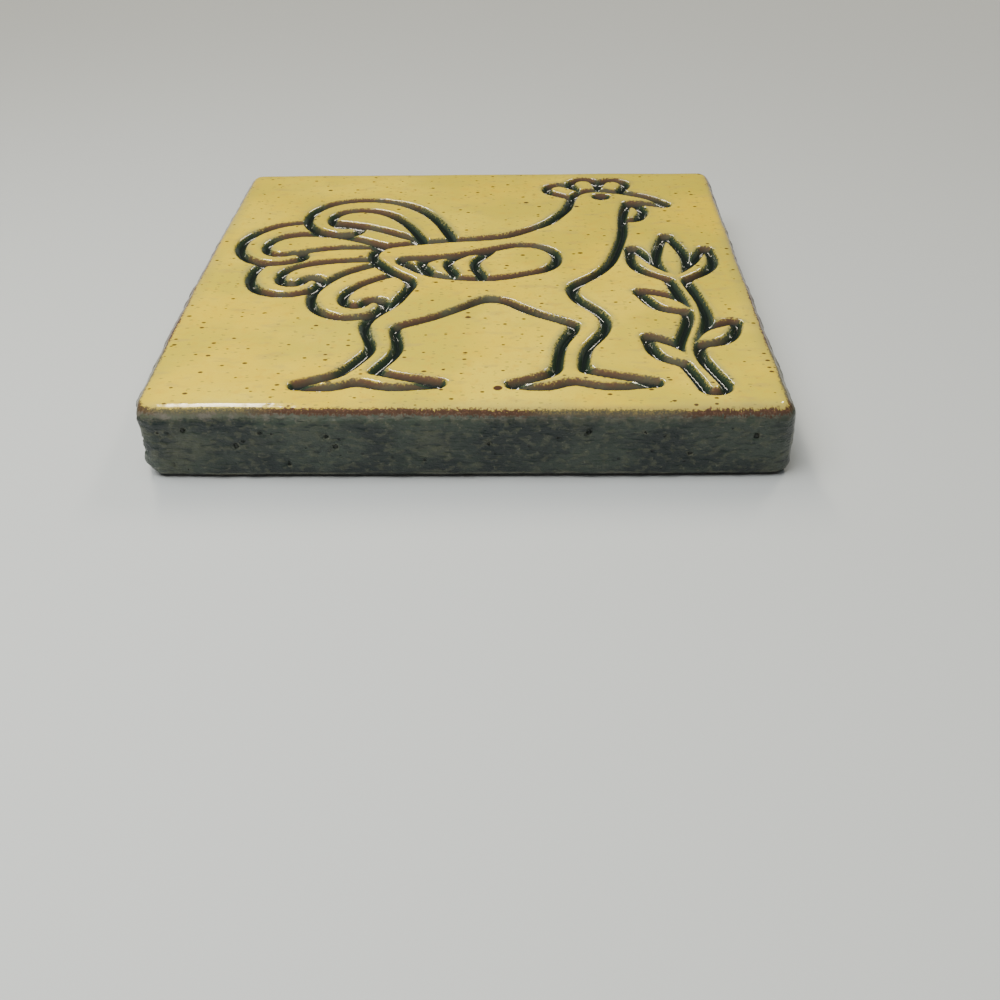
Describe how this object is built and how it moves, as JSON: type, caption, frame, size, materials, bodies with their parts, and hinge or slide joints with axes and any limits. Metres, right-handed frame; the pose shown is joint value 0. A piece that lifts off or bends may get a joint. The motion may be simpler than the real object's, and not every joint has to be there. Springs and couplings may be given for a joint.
{
  "type": "carved ceramic wall tile",
  "caption": "Square glazed stoneware wall tile with a cockerel and a sprig carved in its face in broad grooves, and a flat unglazed back.",
  "frame": {"origin": "centre of the flat back, where the tile is bedded on a wall", "axes": "+Z out of the glazed face, +Y towards the top edge of the picture, +X to its right"},
  "size_m": [0.1022, 0.1021, 0.0122],
  "materials": {
    "glazed_stoneware": "glossy yellow ochre glaze that breaks to brown on the edges and pools dark green in the grooves and down the walls; bare brown clay on the back"
  },
  "bodies": {
    "root": {"tile": "glazed_stoneware"}
  },
  "joints": []
}
